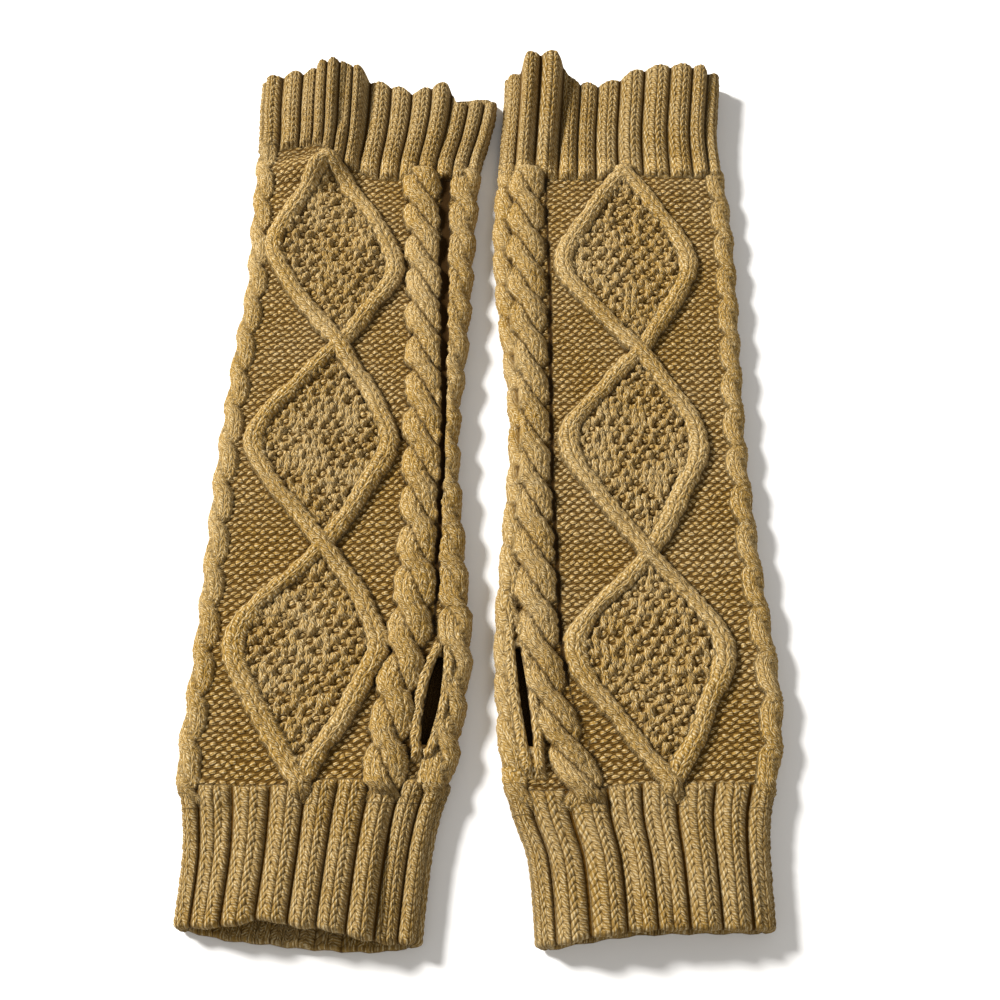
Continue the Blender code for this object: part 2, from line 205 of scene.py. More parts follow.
LEFT = Glove(
    name="left",
    outline=[
        Outline(180, -89.5, -1.0), Outline(157, -89.4, -1.2), Outline(143, -88.6, -3.6),
        Outline(129, -88.5, -6.9), Outline(103, -88.3, -8.6), Outline(78, -87.9, -9.8),
        Outline(54, -89.8, -11.0), Outline(31, -91.0, -13.0), Outline(9, -92.0, -13.2),
        Outline(-22, -92.3, -10.8), Outline(-51, -92.7, -8.6), Outline(-70, -93.5, -10.4),
        Outline(-87, -94.0, -13.0), Outline(-100, -91.4, -17.4), Outline(-113, -90.1, -19.9),
        Outline(-140, -91.2, -22.4)],
    diamonds=[
        Diamond(-62.0, 131.0, 94.0, 8.5, -79.2, -36.4), Diamond(-54.4, 54.4, 18.7, 0.0, -80.5, -36.3),
        Diamond(-55.0, -17.9, -48.7, 0.0, -80.6, -37.1),
        Diamond(-58.0, -91.5, -91.5, 0.0, -58.0, -58.0)],
    cable=[
        Path(131, -29.0), Path(93, -26.8), Path(60, -25.6), Path(19, -25.0), Path(-30, -26.2),
        Path(-52, -28.4), Path(-67, -31.2), Path(-80, -32.8), Path(-92, -33.5)],
    fold_cables=(FoldCable(3.0, 6.0, 2.0, 0.38), FoldCable(5.8, 6.4, 2.6, 0.42)),
    slit=Slit(-17.6, -52.5, -22.4, -82.0, 3.9),
    mouth=[
        Mouth(0.00, 170.8, 0.4), Mouth(0.05, 171.3, 0.6), Mouth(0.13, 171.8, 2.1),
        Mouth(0.155, 171.3, 1.6), Mouth(0.186, 172.0, 2.9), Mouth(0.233, 172.5, 6.4),
        Mouth(0.293, 172.8, 7.5), Mouth(0.356, 172.5, 6.2), Mouth(0.419, 171.5, 3.9),
        Mouth(0.47, 168.5, 1.0), Mouth(0.535, 166.8, 0.7), Mouth(0.60, 165.0, 0.6),
        Mouth(0.672, 163.2, 0.5), Mouth(0.72, 164.6, 1.2), Mouth(0.781, 165.5, 2.1),
        Mouth(0.823, 165.6, 2.2), Mouth(0.848, 162.0, 1.4), Mouth(0.868, 158.0, 0.2),
        Mouth(0.92, 158.6, 0.2), Mouth(0.972, 159.0, 0.3), Mouth(1.0, 158.3, 0.2)],
    hem=[Hem(0.0, -131.5, -130.8), Hem(0.18, -133.8, -130.6), Hem(0.36, -134.8, -128.9),
         Hem(0.5, -135.8, -130.6), Hem(0.65, -136.4, -131.4), Hem(0.78, -136.8, -133.4),
         Hem(0.92, -136.6, -134.8), Hem(1.0, -135.8, -134.9)],
    arm_ribs=[
        Ribs(0.0, 0.1), Ribs(0.098, 1.0), Ribs(0.175, 2.0), Ribs(0.234, 3.0), Ribs(0.29, 4.0),
        Ribs(0.35, 5.0), Ribs(0.411, 6.0), Ribs(0.505, 7.0), Ribs(0.605, 8.0), Ribs(0.70, 9.0),
        Ribs(0.79, 10.0), Ribs(0.88, 11.0), Ribs(0.955, 12.0), Ribs(1.0, 12.6)],
    hand_ribs=[
        Ribs(0.0, 0.35), Ribs(0.09, 1.0), Ribs(0.243, 2.0), Ribs(0.40, 3.0), Ribs(0.537, 4.0),
        Ribs(0.662, 5.0), Ribs(0.805, 6.0), Ribs(0.915, 7.0), Ribs(1.0, 7.85)],
    arm_border=[
        Border(-100.0, 137.0), Border(-84.0, 138.0), Border(-66.0, 138.5), Border(-60.0, 131.0),
        Border(-51.0, 128.0), Border(-44.0, 125.2), Border(0.0, 124.8)],
    hand_border=[Border(-100.0, -93.5), Border(-66.0, -94.0), Border(-50.0, -92.0), Border(0.0, -93.0)],
    groove=[
        Groove(131, -20.0, 1.4), Groove(93, -19.4, 1.5), Groove(60, -18.8, 1.2),
        Groove(19, -18.5, 0.8), Groove(-30, -19.4, 0.6), Groove(-50, -20.5, 0.0), Groove(-92, -22.0, 0.0)],
    swells=[
        Swell(-69, 126.5, 12, 5.4, 5.2), Swell(-57, 107, 9, 9, -2.6), Swell(-75, 101, 7, 14, 1.6),
        Swell(-47, 98, 6, 16, 1.4)],
    creases=[
        Crease(-27.6, -90, -30.2, -131, 3.0, -4.2), Crease(-80.0, -100, -82.0, -131, 2.2, -1.6),
        Crease(-19.0, 126, -16.0, 162, 2.2, -3.0), Crease(-50.0, 141, -48.5, 168, 2.0, -2.2),
        Crease(-58.0, 148, -57.0, 172, 1.5, -1.8)])

RIGHT = Glove(
    name="right",
    outline=[
        Outline(180, 2.6, 84.5), Outline(157, 1.7, 81.8), Outline(143, 0.8, 80.4),
        Outline(129, -0.2, 80.8), Outline(103, -2.0, 82.1), Outline(78, -1.4, 81.9),
        Outline(54, 0.9, 81.1), Outline(31, 3.0, 80.4), Outline(9, 2.9, 80.2),
        Outline(-22, 0.3, 81.3), Outline(-51, -1.3, 83.2), Outline(-70, -0.8, 83.8),
        Outline(-87, 0.6, 81.4), Outline(-100, 3.6, 77.8), Outline(-113, 8.0, 76.5),
        Outline(-140, 10.0, 76.4)],
    diamonds=[
        Diamond(44.6, 126.5, 87.4, 0.0, 22.4, 66.0), Diamond(47.2, 51.7, 18.7, 0.0, 22.2, 64.9),
        Diamond(46.9, -21.2, -50.7, 0.0, 22.4, 67.8), Diamond(49.8, -91.5, -91.5, 0.0, 49.8, 49.8)],
    cable=[Path(131, 9.4), Path(93, 8.8), Path(19, 10.0), Path(-42, 11.4), Path(-67, 14.4),
           Path(-92, 24.0)],
    fold_cables=(FoldCable(2.9, 6.1, 1.9, 0.2), FoldCable(3.0, 6.0, 2.0, 0.38)),
    slit=Slit(4.6, -46.5, 9.6, -85.5, 2.0),
    mouth=[
        Mouth(0.00, 171.6, 0.4), Mouth(0.015, 172.0, 1.2), Mouth(0.04, 175.0, 6.8),
        Mouth(0.08, 175.5, 7.6), Mouth(0.20, 175.5, 7.6), Mouth(0.245, 172.6, 5.0),
        Mouth(0.295, 168.6, 1.6), Mouth(0.36, 167.2, 0.8), Mouth(0.42, 166.8, 0.6),
        Mouth(0.523, 168.5, 1.4), Mouth(0.59, 170.5, 2.9), Mouth(0.668, 172.0, 3.4),
        Mouth(0.772, 172.5, 4.5), Mouth(0.876, 172.5, 4.5), Mouth(0.96, 172.0, 4.0),
        Mouth(1.00, 170.8, 1.6)],
    hem=[Hem(0.0, -136.2, -135.7), Hem(0.2, -134.2, -133.4), Hem(0.45, -132.4, -131.6),
         Hem(1.0, -131.9, -131.5)],
    arm_ribs=[
        Ribs(0.0, 0.2), Ribs(0.06, 1.0), Ribs(0.184, 2.0), Ribs(0.288, 3.0), Ribs(0.375, 4.0),
        Ribs(0.478, 5.0), Ribs(0.597, 6.0), Ribs(0.724, 7.0), Ribs(0.851, 8.0), Ribs(0.95, 9.0),
        Ribs(1.0, 9.7)],
    hand_ribs=[
        Ribs(0.0, 0.3), Ribs(0.096, 1.0), Ribs(0.282, 2.0), Ribs(0.43, 3.0), Ribs(0.574, 4.0),
        Ribs(0.731, 5.0), Ribs(0.88, 6.0), Ribs(1.0, 6.8)],
    arm_border=[
        Border(-10.0, 124.8), Border(35.0, 124.8), Border(45.0, 127.5), Border(58.0, 125.6),
        Border(90.0, 126.0)],
    hand_border=[Border(-10.0, -96.0), Border(25.0, -95.0), Border(45.0, -93.0), Border(90.0, -94.0)],
    groove=[
        Groove(131, 16.6, 0.2), Groove(93, 16.9, 0.5), Groove(60, 17.1, 0.6), Groove(20, 16.9, 0.5),
        Groove(-18, 17.5, 0.6), Groove(-42, 18.3, 0.5), Groove(-60, 20.2, 0.2), Groove(-92, 31.0, 0.0)],
    swells=[Swell(28, 112, 9, 16, 1.2), Swell(62, 117, 12, 8, 1.0)],
    creases=[
        Crease(33.5, -92, 38.0, -131, 2.0, -2.2), Crease(44.0, -100, 47.5, -131, 1.8, -1.6),
        Crease(20.0, 130, 25.5, 170, 2.2, -2.6), Crease(12.0, 134, 15.0, 168, 1.4, -2.0)])


def soft_step(value):
    """0 below 0, 1 above 1, and a smooth rise between."""
    value = np.clip(value, 0.0, 1.0)
    return value * value * (3.0 - 2.0 * value)


def read(table, places, column):
    """A column of a table at places between its rows, on a smooth curve through them."""
    rows = table if table[0][0] < table[-1][0] else table[::-1]
    at = np.array([row[0] for row in rows], float)
    value = np.array([getattr(row, column) for row in rows], float)
    places = np.clip(places, at[0], at[-1])
    low = np.clip(np.searchsorted(at, places, side="right") - 1, 0, len(at) - 2)
    high = low + 1
    before, after = np.maximum(low - 1, 0), np.minimum(high + 1, len(at) - 1)
    width = at[high] - at[low]
    slope_in = (value[high] - value[before]) / (at[high] - at[before])
    slope_out = (value[after] - value[low]) / (at[after] - at[low])
    t = (places - at[low]) / width
    return ((2 * t ** 3 - 3 * t ** 2 + 1) * value[low] + (t ** 3 - 2 * t ** 2 + t) * width * slope_in
            + (3 * t ** 2 - 2 * t ** 3) * value[high] + (t ** 3 - t ** 2) * width * slope_out)


def ridge(distance, half_width):
    """A round back: 1 on its crest, and 0 from its half width on."""
    return np.sqrt(np.clip(1.0 - (distance / half_width) ** 2, 0.0, None))


def fraction(value):
    return value - np.floor(value)


def wander(x, y, size, seed):
    """A slow unevenness between about -1 and 1, as hand-held yarn gives."""
    draw = np.random.default_rng(seed)
    total = 0.0
    for turn, start, stretch in draw.uniform((0, 0, 0.7), (math.pi, 2 * math.pi, 1.5), (5, 3)):
        along = x * math.cos(turn) + y * math.sin(turn)
        total = total + np.sin(2 * math.pi * along / (size * stretch) + start)
    return total / 2.4


def hump(value, power):
    """0 at whole numbers and 1 half way between them."""
    return np.clip(1.0 - (2.0 * fraction(value) - 1.0) ** 2, 0.0, 1.0) ** power


def knit_height(u, v):
    """Stockinette from 0 to 1: each stitch has two legs that lean together at its top."""
    side = np.abs(2.0 * fraction(u) - 1.0)
    return ridge(side - LEG_MIDDLE, 1.0 - LEG_MIDDLE) * (0.35 + 0.65 * hump(v + 1.25 * side, 0.6))


def purl_height(u, v):
    """Reverse stockinette from 0 to 1: bowed bumps set like bricks, two to a stitch."""
    height = 0.0
    for half, bow in ((0.0, PURL_BOW), (0.5, -PURL_BOW)):
        beside = 2.8 * (fraction(u + half) - 0.5)
        above = fraction(v + half) - 0.5 - bow * (1.0 - beside ** 2)
        height = np.maximum(height, 1.0 - beside ** 2 - (3.8 * above) ** 2)
    return np.clip(height, 0.0, None) ** 0.8


def chance(column, row, seed):
    """A steady number from 0 to 1 for each stitch."""
    return fraction(np.sin(np.floor(column) * 12.9898 + np.floor(row) * 78.233 + seed) * 4375.85)


def row_number(y):
    """Rows counted along the glove."""
    body_rows = np.maximum(y, HAND_JOIN) / ROW_TALL
    return body_rows + np.minimum(y - HAND_JOIN, 0.0) / HAND_ROW_TALL


def rope(across, y, half, sway):
    """A rope cable of two strands: its height, and the stitch columns on its upper strand."""
    height = np.zeros_like(across)
    under = np.zeros_like(across)
    columns = np.zeros_like(across)
    for strand in (0, 1):
        turn = math.pi * ((y - CABLE_PHASE) / CABLE_STEP + strand)
        aside = np.cos(turn)
        middle = sway * half * aside * (1.5 - 0.5 * aside ** 2)
        reach = (1.04 - sway) * half
        rise = (0.66 + 0.34 * np.sin(turn)) * ridge(across - middle, reach)
        columns = np.where(rise > height, (across - middle) / reach * 1.5 + 0.5, columns)
        under = np.minimum(height, rise)
        height = np.maximum(height, rise)
    return height - CABLE_CREASE * under * np.exp(-((height - under) / 0.12) ** 2), columns


def bend(share):
    """How far out a strand has come, from a crossing at 0 to its rounded corner at 1."""
    full = math.hypot(1.0, CORNER_SOFTNESS)
    return (full - np.hypot(1.0 - share, CORNER_SOFTNESS)) / (full - CORNER_SOFTNESS)


def diamond_sides(glove, y):
    """Left and right strand at each height, and how near the crossings above and below are."""
    stack = glove.diamonds
    index = np.zeros(y.shape, int)
    for i in range(1, len(stack) - 1):
        index = np.where(y <= stack[i].top_y, i, index)

    def column(name, step=0):
        return np.array([getattr(row, name) for row in stack], float)[index + step]

    top_y, end_y = column("top_y"), column("top_y", 1)

    def strand(name, corner_y):
        upper = y > corner_y
        cross_x = np.where(upper, column("top_x"), column("top_x", 1))
        cross_y = np.where(upper, top_y, end_y)
        out = bend(np.clip((y - cross_y) / (corner_y - cross_y), 0.0, 1.0))
        return cross_x + (column(name) - cross_x) * out

    left = strand("left", column("corner_y"))
    right = strand("right", column("corner_y") - column("slip"))
    below_top = soft_step(1.0 - (top_y - y) / CROSSING_REACH)
    above_end = soft_step(1.0 - (y - end_y) / CROSSING_REACH)
    return left, right, below_top, above_end


def slit_lens(glove, y):
    """Middle of the thumb slit, half its opening, and how far from its middle each height is."""
    slit = glove.slit
    share = (slit.top_y - y) / (slit.top_y - slit.end_y)
    middle = slit.top_x + (slit.end_x - slit.top_x) * share
    outward = np.abs(2.0 * share - 1.0)
    half = slit.width / 2 * np.clip(1.0 - outward * outward, 0.0, None) ** SLIT_BLUNT
    return middle, half, outward


class Knitting:
    """The topmost of several raised forms at each point, with its stitches."""

    def __init__(self, columns, rows):
        self.height = np.zeros_like(rows)
        self.u = np.broadcast_to(columns, rows.shape)
        self.v = rows
        self.knit = np.zeros_like(rows)
        self.sunk = np.zeros_like(rows)

    def lay(self, height, u, v, knit=1.0):
        top = height > self.height
        self.u = np.where(top, u, self.u)
        self.v = np.where(top, v, self.v)
        self.knit = np.where(top, knit, self.knit)
        self.height = np.maximum(height, self.height)

    def sink(self, share):
        """Draws the knitting in and flattens its stitches; the share drawn in adds painted shade."""
        self.sunk = share
        self.height = self.height * (1.0 - share)
        self.u = np.where(share > 0.5, 0.0, self.u)
        self.knit = np.where(share > 0.5, 1.0, self.knit)

    def stitches(self):
        knitted = KNIT_RISE * self.knit * knit_height(self.u, self.v)
        purled = PURL_RISE * purl_height(self.u, self.v)
        uneven = 0.8 + 0.4 * chance(self.u, self.v, 1.0)
        return np.where(self.knit > 0.5, knitted, purled) * uneven - 0.4 * PURL_RISE


def lay_moss(knitting, left, right, x, share):
    """Moss between the strands: nubs and holes by turns, some of them filled, none quite alike."""
    inside = np.minimum(x - left, right - x)
    row = knitting.v * MOSS_ROW
    column = knitting.u * MOSS_COLUMN + MOSS_ASIDE * chance(0.0, row, 3.0)
    row = row + MOSS_ALONG * chance(column, 0.0, 7.0)
    even = fraction((np.floor(column) + np.floor(row)) / 2) < 0.25
    draw = chance(column, row, 5.0)
    nub = np.where(even, 0.5 + 0.7 * draw, 0.7 * draw * draw)
    swell = MOSS_NUB * nub * hump(column, 0.6) * hump(row, 0.6)
    height = MOSS_RISE * soft_step(inside / MOSS_SOFTEN) + swell + 0.01
    knitting.lay(np.where(inside > 0.0, height * share, 0.0), column, row, (nub > 0.3) * 1.0)


def lay_ribs(knitting, count, share):
    """Two knit columns on each rib; the purl between them is drawn in and hardly shows."""
    ahead = fraction(count + 0.5) - 0.5
    height = RIB_RISE * (0.5 + 0.5 * np.cos(2 * math.pi * ahead)) ** RIB_ROUND
    columns = np.where(np.abs(ahead) < RIB_KNIT, ahead / RIB_KNIT, 0.0)
    knitting.lay((height + 0.02) * share, columns, knitting.v)


def knitting_at(glove, ring, x, y, turn_left, turn_right):
    """All the knitting of a glove at each point of its surface."""
    front = (ring.side == "top")[:, None] * 1.0
    bent_x = sum(far * wander(x, y, size, seed) for far, size, seed in STRAY_X)
    bent_y = sum(far * wander(x, y, size, seed) for far, size, seed in STRAY_Y)
    x, wavy = x + bent_x, y + bent_y
    knitting = Knitting(ring.column[:, None] + bent_x / STITCH_WIDE, row_number(wavy))
    rows = knitting.v
    raised_rows = rows * RAISED_ROWS
    arm_border = read(glove.arm_border, x, "y")
    hand_border = read(glove.hand_border, x, "y")
    between = 1.0 - soft_step((y - arm_border) / JOIN_BLEND) - soft_step((hand_border - y) / JOIN_BLEND)
    left, right, below_top, above_end = diamond_sides(glove, wavy)
    lay_moss(knitting, left, right, x, front * between)
    started = soft_step((glove.diamonds[0].top_y + STRAND_START - y) / STRAND_START)
    for path, near in ((left, above_end), (right, below_top)):
        height = (STRAND_RISE + OVER_RISE * near) * ridge(x - path, STRAND_HALF) * started
        knitting.lay(height * front * between, (x - path) / STRAND_HALF, raised_rows, STRAND_KNIT)
    cable = x - read(glove.cable, y, "x")
    on_left, on_right = glove.fold_cables
    ropes = (
        (CABLE_RISE * front, CABLE_HALF, CABLE_SWAY, cable),
        (on_left.rise, on_left.half, on_left.sway, turn_left - on_left.inset),
        (on_right.rise, on_right.half, on_right.sway, on_right.inset - turn_right))
    for rise, half, sway, place in ropes:
        height, columns = rope(place, wavy, half, sway)
        knitting.lay(rise * height * between, columns, raised_rows, CABLE_KNIT)
    drawn_in = np.abs(x - read(glove.groove, y, "x")) - read(glove.groove, y, "half")
    knitting.sink(soft_step(0.5 - drawn_in) * front * between)
    middle, half, outward = slit_lens(glove, y)
    beside = np.abs(x - middle) - half - BAND_HALF
    band = BAND_RISE * ridge(beside, BAND_HALF) * soft_step((BAND_END - outward) / BAND_FADE)
    knitting.lay(band * front, beside / (2 * BAND_HALF) + 0.5, rows)
    arm = soft_step(1.0 - (arm_border - y) / RIB_BLEND)
    hand = soft_step(1.0 - (y - hand_border) / RIB_BLEND)
    lay_ribs(knitting, ring.arm_count[:, None], arm)
    lay_ribs(knitting, ring.hand_count[:, None], hand)
    return knitting


def inner_knitting(ring, y, whole_body):
    """The inside of the tube: knit where the outside is purl, and ribs between the outer ribs."""
    knitting = Knitting(ring.column[:, None], row_number(y))
    if whole_body:
        knitting.knit += 1.0
    lay_ribs(knitting, ring.arm_count[:, None] + 0.5, (y > ARM_JOIN) * 1.0)
    lay_ribs(knitting, ring.hand_count[:, None] + 0.5, (y < HAND_JOIN) * 1.0)
    return knitting


def edges(glove, y):
    """The outermost lines of a glove, without the stitches that stand out over them."""
    return (read(glove.outline, y, "left") + EDGE_INSET, read(glove.outline, y, "right") - EDGE_INSET)


def crease_rise(crease, x, y):
    """A soft trough or ridge along a line, fading out past its ends."""
    run_x, run_y = crease.to_x - crease.from_x, crease.to_y - crease.from_y
    length = math.hypot(run_x, run_y)
    along = ((x - crease.from_x) * run_x + (y - crease.from_y) * run_y) / length
    aside = ((x - crease.from_x) * run_y - (y - crease.from_y) * run_x) / length
    past = np.maximum(np.maximum(-along, along - length), 0.0)
    return crease.rise * np.exp(-(aside / crease.half_width) ** 2 - (past / CREASE_FADE) ** 2)


def lift(glove, across, x, y):
    """How far the upper layer stands off the lower one, above the gap between flat layers."""
    mouth_y = read(glove.mouth, across, "edge_y")
    arm_start = ARM_JOIN - ARM_LOFT_REACH
    arm = read(glove.mouth, across, "lift") * soft_step((y - arm_start) / (mouth_y - arm_start)) ** 1.5
    hand_start = HAND_JOIN + HAND_LOFT_REACH
    hand = HAND_LOFT * soft_step((hand_start - y) / (hand_start - FRONT_HEM))
    total = arm + hand * np.sqrt(np.clip(np.sin(math.pi * across), 0.0, None))
    for s in glove.swells:
        total = total + s.rise * np.exp(-((x - s.x) / s.reach_x) ** 2 - ((y - s.y) / s.reach_y) ** 2)
    for crease in glove.creases:
        total = total + crease_rise(crease, x, y)
    return np.maximum(total, 0.0)


def round_the_tube(glove, cell):
    """Stations over the top, down the right fold, back below and up the left fold."""
    top = round(LAYER_WIDTH / cell)
    under = round(LAYER_WIDTH / UNDER_CELL)
    fold = round(math.pi * FOLD_RADIUS / FOLD_CELL)
    over, back, turn = np.arange(top) / top, np.arange(under) / under, np.arange(fold) / fold

    def count_round(on_top, first, last, fold_count):
        below = last + fold_count + (last - first) * back
        return np.concatenate([
            on_top, last + fold_count * turn, below, 2 * last - first + fold_count * (1.0 + turn)])

    def rib_round(ribs):
        return count_round(read(ribs, over, "count"), ribs[0].count, ribs[-1].count, FOLD_RIBS)

    return Ring(
        across=np.concatenate([over, np.ones(fold), 1.0 - back, np.zeros(fold)]),
        column=count_round(LAYER_COLUMNS * over, 0.0, LAYER_COLUMNS, FOLD_COLUMNS),
        arm_count=rib_round(glove.arm_ribs),
        hand_count=rib_round(glove.hand_ribs),
        angle=np.radians(np.concatenate([
            np.full(top, 90.0), 90.0 - 180.0 * turn, np.full(under, -90.0), 270.0 - 180.0 * turn])),
        side=np.repeat(["top", "right", "under", "left"], [top, fold, under, fold]))


def turns(glove, ring, x, y):
    """Distances over the surface from the outermost lines of the left and right fold."""
    left, right = edges(glove, y)
    sign = np.where(ring.side == "under", -1.0, 1.0)[:, None]
    angle = ring.angle[:, None]
    turn_left = sign * (x - left - WALL / 2 + FOLD_QUARTER)
    turn_right = sign * (right - WALL / 2 - x + FOLD_QUARTER)
    turn_left = np.where((ring.side == "left")[:, None], FOLD_OUTSIDE * (math.pi - angle), turn_left)
    turn_right = np.where((ring.side == "right")[:, None], FOLD_OUTSIDE * angle, turn_right)
    return turn_left, turn_right


def slit_station(glove, ring):
    """The station just left of the middle of the thumb slit."""
    slit = glove.slit
    y = (slit.top_y + slit.end_y) / 2
    left, right = edges(glove, np.array([y]))
    inset = WALL / 2 + FOLD_RADIUS
    share = ((slit.top_x + slit.end_x) / 2 - left[0] - inset) / (right[0] - left[0] - 2 * inset)
    return int(share * np.count_nonzero(ring.side == "top"))


def open_lips(glove, ring, x, y, out_z):
    """Moves the stitches beside the thumb slit, so its lips follow the slit and stand apart."""
    at = slit_station(glove, ring)
    middle, half, outward = slit_lens(glove, y)
    seam = (x[at] + x[at + 1]) / 2
    near = np.clip(1.0 - np.abs(x - seam) / SLIT_PULL, 0.0, 1.0) ** 2 * soft_step(2.2 - outward)
    pulled = x + (middle - seam) * near
    away = pulled - middle
    spread = np.clip(1.0 - np.abs(away) / SLIT_SPREAD, 0.0, 1.0) ** 1.5 * half
    pulled = pulled + np.sign(away) * spread
    return x + (pulled - x) * np.clip(out_z, 0.0, 1.0)


def wall_points(piece, shares, rim=None):
    """Points of the wall, their stitches and their macro height, from which painted shade is found, a row
    of stations for each share.

    A share runs from 0 at the piece's first end to 1 at its last. rim is None on the outside, an
    angle from 0 to pi round an edge from outside to inside, and pi on the inside.
    """
    glove, ring = piece.glove, piece.ring
    out_x, out_z = np.cos(ring.angle)[:, None], np.sin(ring.angle)[:, None]
    first, last = piece.first[:, None], piece.last[:, None]
    y = first + (last - first) * shares[None, :]
    left, right = edges(glove, y)
    inset = WALL / 2 + FOLD_RADIUS
    start = left + inset
    x = start + (right - inset - start) * ring.across[:, None] + FOLD_RADIUS * out_x
    if piece.name == "body":
        x = open_lips(glove, ring, x, y, out_z)
    upward = np.clip((out_z + UNDER_FADE) / UNDER_FADE, 0.0, 1.0)
    apart = lift(glove, ring.across[:, None], x, y)
    z = WALL / 2 + (WALL + LAYER_GAP + apart) / 2 * (1.0 + out_z)
    inside = rim is not None and rim > math.pi / 2 + 0.01
    if inside:
        knitting = inner_knitting(ring, y, piece.name == "body")
        room = np.clip(apart / INNER_ROOM, 0.0, 1.0) * np.abs(out_z) ** 4
        reach = WALL / 2 + room * INNER_RISE * (knitting.height / RIB_RISE + knitting.stitches())
    else:
        turn_left, turn_right = turns(glove, ring, x, y)
        knitting = knitting_at(glove, ring, x, y, turn_left, turn_right)
        reach = WALL / 2 + upward * (knitting.height + knitting.stitches())
    if rim is not None:
        reach = math.cos(rim) * reach
        outward = np.sign(last - first) if shares[-1] > 0.5 else np.sign(first - last)
        y = y + outward * math.sin(rim) * (RIM_ROUND if "cuff" in piece.name else SEAM_OVERLAP)
    points = np.stack([x + out_x * reach, y + 0.0 * x, z + out_z * reach], axis=-1)
    stitch = np.stack([knitting.u, knitting.v, knitting.knit], axis=-1)
    # Drawn-in grooves count as deeper than they are, so they take more painted shade
    return points, stitch, (knitting.height - SUNK_SHADE * knitting.sunk) * upward


def blurred(field, reach_round, reach_along):
    """Means over a window, with the stations closed to a ring and the ends carried on."""
    padded = np.pad(field, ((reach_round, reach_round), (0, 0)), mode="wrap")
    padded = np.pad(padded, ((0, 0), (reach_along, reach_along)), mode="edge")
    sums = np.pad(padded.cumsum(axis=0).cumsum(axis=1), ((1, 0), (1, 0)))
    tall, wide = 2 * reach_round + 1, 2 * reach_along + 1
    window = sums[tall:, wide:] - sums[:-tall, wide:] - sums[tall:, :-wide] + sums[:-tall, :-wide]
    return window / (tall * wide)


def closed_wall(piece):
    """Points, stitches and painted shade of a knitted wall, with a row of points for each station.

    A row runs over the outside, round the last edge, back along the inside and round the first
    edge to its start again.
    """
    rims = np.pi * np.arange(1, RIM_STEPS) / RIM_STEPS if "cuff" in piece.name else [np.pi / 2]
    inside = wall_points(piece, piece.inner_shares[::-1], np.pi)
    outside = wall_points(piece, piece.shares)
    bands = [outside]
    bands += [wall_points(piece, np.ones(1), rim) for rim in rims]
    bands += [inside, wall_points(piece, np.zeros(1), np.pi / 2)]
    points, stitch = (np.concatenate([band[i] for band in bands], axis=1) for i in (0, 1))
    reach = [round(HOLLOW_REACH / cell) for cell in piece.cell]
    # Painted shade: places lower than the mean round them, drawn-in grooves, and the inside, all of it in
    # the body and more of it deeper past the mouth in a cuff
    valley = blurred(np.maximum(outside[2], 0.0), *reach) - outside[2]
    painted_shade = np.pad(valley, ((0, 0), (0, points.shape[1] - valley.shape[1])))
    depth = np.abs(inside[0][:, :, 1] - piece.last[:, None]) / INNER_SHADE
    start = valley.shape[1] + len(rims)
    depth = np.clip(depth, 0.0, DEEPEST_SHADE)
    painted_shade[:, start:start + depth.shape[1]] = DEEPEST_SHADE if piece.name == "body" else depth
    closed = ((0, 1), (0, 1), (0, 0))
    points = np.pad(points, closed, mode="wrap")
    stitch = np.pad(stitch, closed, mode="wrap")
    ground = (stitch[-1, :, 2] < 0.5) & (np.abs(stitch[-1, :, 0]) < 1e-6)
    stitch[-1, ground, 0] += 2 * (LAYER_COLUMNS + FOLD_COLUMNS)
    return points, stitch, np.pad(painted_shade, ((0, 1), (0, 1)), mode="wrap")


def knit_piece(piece):
    """A grid laid out over the wall of a piece, with its sides joined and its thumb slit open."""
    points, stitch, painted_shade = closed_wall(piece)
    around, along = painted_shade.shape
    bpy.ops.object.select_all(action="DESELECT")
    bpy.ops.mesh.primitive_grid_add(x_subdivisions=along - 1, y_subdivisions=around - 1)
    made = bpy.context.active_object
    made.name = f"{piece.glove.name}_{piece.name}_knit"
    mesh = made.data
    mesh.name = made.name
    mesh.vertices.foreach_set("co", ((points + (SHIFT_X, SHIFT_Y, 0.0)) * MM).reshape(-1))
    # The painted shade is handed to the material as a point attribute
    painted_shade_layer = mesh.attributes.new("painted_shade", "FLOAT", "POINT")
    painted_shade_layer.data.foreach_set("value", painted_shade.reshape(-1))
    corner_vertex = np.zeros(len(mesh.loops), np.int32)
    mesh.loops.foreach_get("vertex_index", corner_vertex)
    stitches = mesh.attributes.new("stitch", "FLOAT_VECTOR", "CORNER")
    stitches.data.foreach_set("vector", stitch.reshape(-1, 3)[corner_vertex].reshape(-1))
    build = bmesh.new()
    build.from_mesh(mesh)
    mark_joins(build, piece, along)
    if piece.name == "body":
        cut_slit(build, piece, points, along)
    bmesh.ops.remove_doubles(build, verts=build.verts, dist=1e-6)
    if build.calc_volume(signed=True) < 0:
        bmesh.ops.reverse_faces(build, faces=build.faces)
    for face in build.faces:
        face.smooth = True
    build.to_mesh(mesh)
    build.free()
    return made


def mark_joins(build, piece, along):
    """Breaks the shading at a join, so the knitting runs on to the next piece without a line."""
    joins = {0, along - 1}
    if piece.name == "body":
        joins.add(len(piece.shares) - 1)
    for edge in build.edges:
        first, second = (vert.index % along for vert in edge.verts)
        if first == second and first in joins:
            edge.smooth = False


